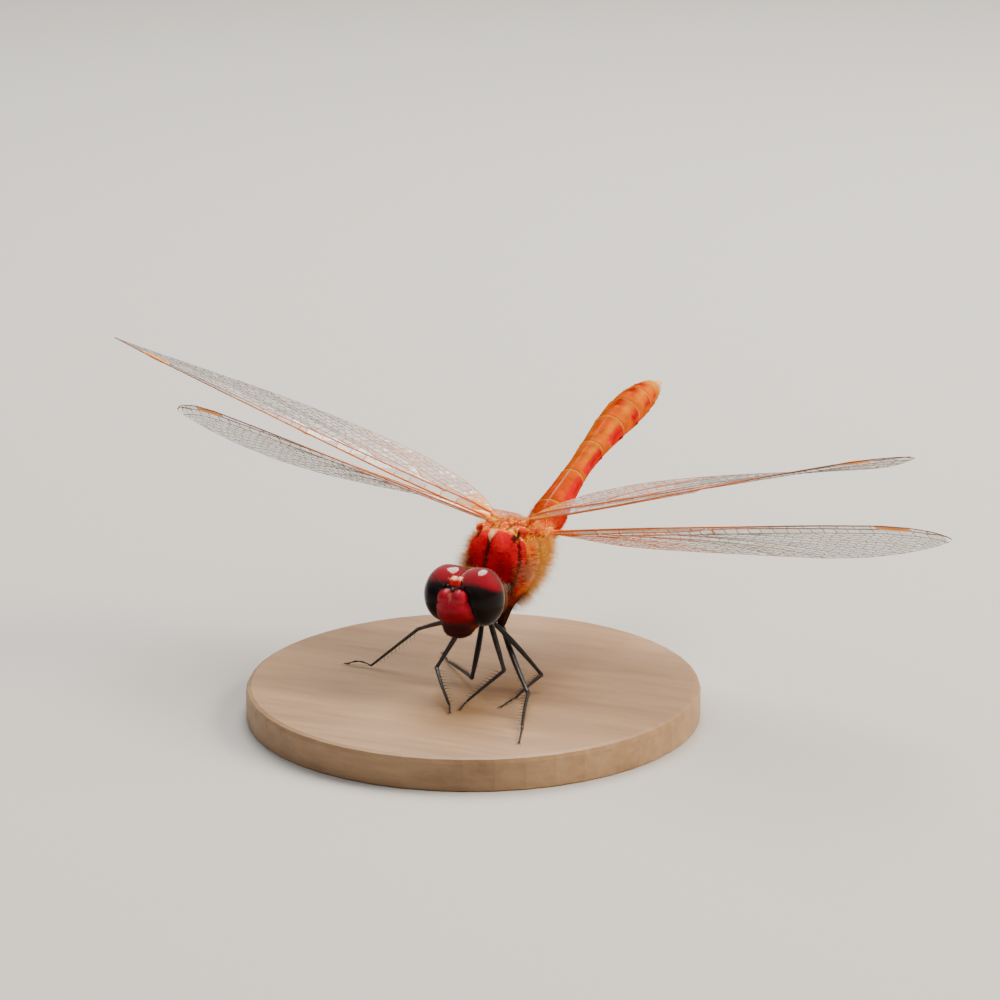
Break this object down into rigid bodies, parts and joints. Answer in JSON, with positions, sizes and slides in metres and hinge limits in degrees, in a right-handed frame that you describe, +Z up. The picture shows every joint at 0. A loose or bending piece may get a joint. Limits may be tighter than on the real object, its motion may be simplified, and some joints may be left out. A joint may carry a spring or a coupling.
{
  "type": "ruddy darter dragonfly, perched, life-size model",
  "caption": "Life-size red darter dragonfly perched with spread wings, raised abdomen and head turned slightly, standing on a flat round base.",
  "frame": {"origin": "centre of the whole part's box, at the level of the base's underside", "axes": "+X towards the animal's left side, -Y the way it faces, +Z up"},
  "size_m": [0.0574, 0.046, 0.023],
  "materials": {
    "body_red": "satin, short fuzz",
    "abdomen_orange_red": "satin",
    "eye_crimson": "glossy",
    "face_crimson": "satin",
    "leg_black": "satin, with spines",
    "wing_membrane": "clear membrane with veins",
    "stand_wood": "fine satin wood"
  },
  "bodies": {
    "root": {"abdomen_base": "abdomen_orange_red", "abdomen_club": "abdomen_orange_red", "abdomen_middle": "abdomen_orange_red", "antenna_left": "leg_black", "antenna_right": "leg_black", "cercus_left": "abdomen_orange_red", "cercus_right": "abdomen_orange_red", "eye_left": "eye_crimson", "eye_right": "eye_crimson", "head": "face_crimson", "leg_fore_left_femur": "leg_black", "leg_fore_left_tarsus": "leg_black", "leg_fore_left_tibia": "leg_black", "leg_fore_right_femur": "leg_black", "leg_fore_right_tarsus": "leg_black", "leg_fore_right_tibia": "leg_black", "leg_hind_left_femur": "leg_black", "leg_hind_left_tarsus": "leg_black", "leg_hind_left_tibia": "leg_black", "leg_hind_right_femur": "leg_black", "leg_hind_right_tarsus": "leg_black", "leg_hind_right_tibia": "leg_black", "leg_mid_left_femur": "leg_black", "leg_mid_left_tarsus": "leg_black", "leg_mid_left_tibia": "leg_black", "leg_mid_right_femur": "leg_black", "leg_mid_right_tarsus": "leg_black", "leg_mid_right_tibia": "leg_black", "prothorax": "body_red", "stand_base": "stand_wood", "thorax": "body_red", "wing_fore_left": "wing_membrane", "wing_fore_right": "wing_membrane", "wing_hind_left": "wing_membrane", "wing_hind_right": "wing_membrane"}
  },
  "joints": []
}
